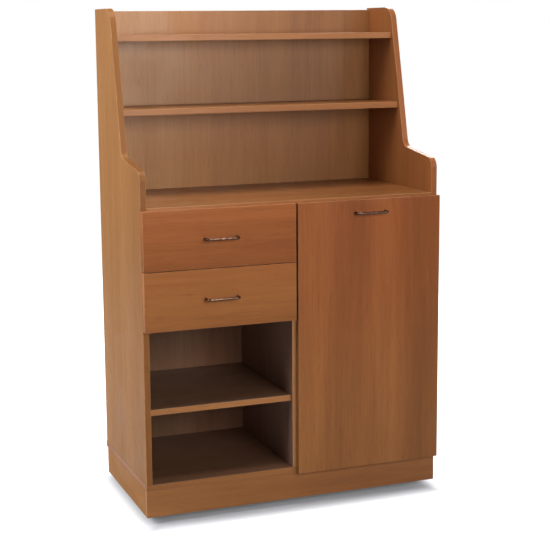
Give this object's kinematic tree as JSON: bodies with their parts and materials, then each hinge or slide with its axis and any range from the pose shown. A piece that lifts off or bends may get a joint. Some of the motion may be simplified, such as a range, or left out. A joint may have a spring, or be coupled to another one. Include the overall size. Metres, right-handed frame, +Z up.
{
  "type": "waiter service station",
  "caption": "Mobile wood-grain sideboard with drawers, an open shelf compartment, a tilt-out bin front and a hutch with shelves above the worktop.",
  "frame": {"origin": "on the floor under the middle of the whole box, handles included", "axes": "+X to the right of someone facing the fronts, +Y from the fronts to the back, +Z up"},
  "size_m": [0.925, 0.517, 1.475],
  "materials": {
    "carcass_decor_board": "cherry wood-grain melamine board, satin",
    "front_decor_board": "cherry wood-grain melamine board, satin",
    "drawer_box_board": "plain melamine board, matt",
    "dark_bronze_rod": "dark bronze lacquer, semi gloss",
    "zinc_plated_steel": "zinc plated",
    "wheel_rubber": "matt black rubber tyre on a grey core",
    "catch_plastic": "moulded, matt"
  },
  "bodies": {
    "carcass": {"bottom_board": "carcass_decor_board", "cam_fittings": "zinc_plated_steel", "carcass_screws": "zinc_plated_steel", "castor_plates": "zinc_plated_steel", "centre_divider": "carcass_decor_board", "compartment_shelf": "carcass_decor_board", "drawer_bay_floor": "carcass_decor_board", "hinge_fixed_leaf": "zinc_plated_steel", "hinge_pin": "zinc_plated_steel", "hutch_back_panel": "carcass_decor_board", "hutch_shelf_lower": "carcass_decor_board", "hutch_shelf_upper": "carcass_decor_board", "lower_back_panel": "carcass_decor_board", "magnetic_catch": "catch_plastic", "plinth_brackets": "zinc_plated_steel", "plinth_front": "carcass_decor_board", "plinth_left": "carcass_decor_board", "plinth_rear": "carcass_decor_board", "plinth_right": "carcass_decor_board", "runner_cabinet_members": "zinc_plated_steel", "shelf_pins": "zinc_plated_steel", "side_panel_left": "carcass_decor_board", "side_panel_right": "carcass_decor_board", "stop_pins": "zinc_plated_steel", "worktop": "carcass_decor_board"},
    "drawer_upper": {"drawer_upper_bottom": "drawer_box_board", "drawer_upper_fixings": "zinc_plated_steel", "drawer_upper_front": "front_decor_board", "drawer_upper_handle": "dark_bronze_rod", "drawer_upper_rear": "drawer_box_board", "drawer_upper_runner_inner": "zinc_plated_steel", "drawer_upper_side_left": "drawer_box_board", "drawer_upper_side_right": "drawer_box_board"},
    "drawer_upper_middle_runner": {"drawer_upper_runner_middle": "zinc_plated_steel"},
    "drawer_lower": {"drawer_lower_bottom": "drawer_box_board", "drawer_lower_fixings": "zinc_plated_steel", "drawer_lower_front": "front_decor_board", "drawer_lower_handle": "dark_bronze_rod", "drawer_lower_rear": "drawer_box_board", "drawer_lower_runner_inner": "zinc_plated_steel", "drawer_lower_side_left": "drawer_box_board", "drawer_lower_side_right": "drawer_box_board"},
    "drawer_lower_middle_runner": {"drawer_lower_runner_middle": "zinc_plated_steel"},
    "bin": {"bin_fixings": "zinc_plated_steel", "bin_floor": "drawer_box_board", "bin_front": "front_decor_board", "bin_handle": "dark_bronze_rod", "bin_hinge_leaf": "zinc_plated_steel", "bin_rear": "drawer_box_board", "bin_side_left": "drawer_box_board", "bin_side_right": "drawer_box_board", "bin_strike_plate": "zinc_plated_steel"},
    "castor_front_left": {"castor_fork_front_left": "zinc_plated_steel"},
    "castor_front_right": {"castor_fork_front_right": "zinc_plated_steel"},
    "castor_rear_left": {"castor_fork_rear_left": "zinc_plated_steel"},
    "castor_rear_right": {"castor_fork_rear_right": "zinc_plated_steel"},
    "wheel_front_left": {"castor_wheel_front_left": "wheel_rubber"},
    "wheel_front_right": {"castor_wheel_front_right": "wheel_rubber"},
    "wheel_rear_left": {"castor_wheel_rear_left": "wheel_rubber"},
    "wheel_rear_right": {"castor_wheel_rear_right": "wheel_rubber"}
  },
  "joints": [
    {"name": "drawer_upper_slide", "type": "slide", "parent": "carcass", "child": "drawer_upper", "axis": [0, -1, 0], "range_m": [0, 0.4]},
    {"name": "drawer_upper_middle_slide", "type": "slide", "parent": "carcass", "child": "drawer_upper_middle_runner", "axis": [0, -1, 0], "range_m": [0, 0.2]},
    {"name": "drawer_lower_slide", "type": "slide", "parent": "carcass", "child": "drawer_lower", "axis": [0, -1, 0], "range_m": [0, 0.4]},
    {"name": "drawer_lower_middle_slide", "type": "slide", "parent": "carcass", "child": "drawer_lower_middle_runner", "axis": [0, -1, 0], "range_m": [0, 0.2]},
    {"name": "bin_tilt", "type": "hinge", "parent": "carcass", "child": "bin", "pos_m": [0.22675, -0.211, 0.105], "axis": [1, 0, 0], "range_deg": [0, 25]},
    {"name": "swivel_front_left", "type": "hinge", "parent": "carcass", "child": "castor_front_left", "pos_m": [-0.2955, -0.124, 0.1], "axis": [0, 0, 1], "continuous": true},
    {"name": "wheel_spin_front_left", "type": "hinge", "parent": "castor_front_left", "child": "wheel_front_left", "pos_m": [-0.28119, -0.1469, 0.0375], "axis": [0.848, 0.5299, 0], "continuous": true},
    {"name": "swivel_front_right", "type": "hinge", "parent": "carcass", "child": "castor_front_right", "pos_m": [0.2955, -0.124, 0.1], "axis": [0, 0, 1], "continuous": true},
    {"name": "wheel_spin_front_right", "type": "hinge", "parent": "castor_front_right", "child": "wheel_front_right", "pos_m": [0.31618, -0.14136, 0.0375], "axis": [0.6428, 0.766, 0], "continuous": true},
    {"name": "swivel_rear_left", "type": "hinge", "parent": "carcass", "child": "castor_rear_left", "pos_m": [-0.2955, 0.157, 0.1], "axis": [0, 0, 1], "continuous": true},
    {"name": "wheel_spin_rear_left", "type": "hinge", "parent": "castor_rear_left", "child": "wheel_rear_left", "pos_m": [-0.30818, 0.18084, 0.0375], "axis": [-0.8829, -0.4695, 0], "continuous": true},
    {"name": "swivel_rear_right", "type": "hinge", "parent": "carcass", "child": "castor_rear_right", "pos_m": [0.2955, 0.157, 0.1], "axis": [0, 0, 1], "continuous": true},
    {"name": "wheel_spin_rear_right", "type": "hinge", "parent": "castor_rear_right", "child": "wheel_rear_right", "pos_m": [0.30734, 0.18127, 0.0375], "axis": [-0.8988, 0.4384, 0], "continuous": true}
  ],
  "couplings": [
    {"joint": "drawer_upper_middle_slide", "follows": "drawer_upper_slide", "ratio": 0.5},
    {"joint": "drawer_lower_middle_slide", "follows": "drawer_lower_slide", "ratio": 0.5}
  ]
}
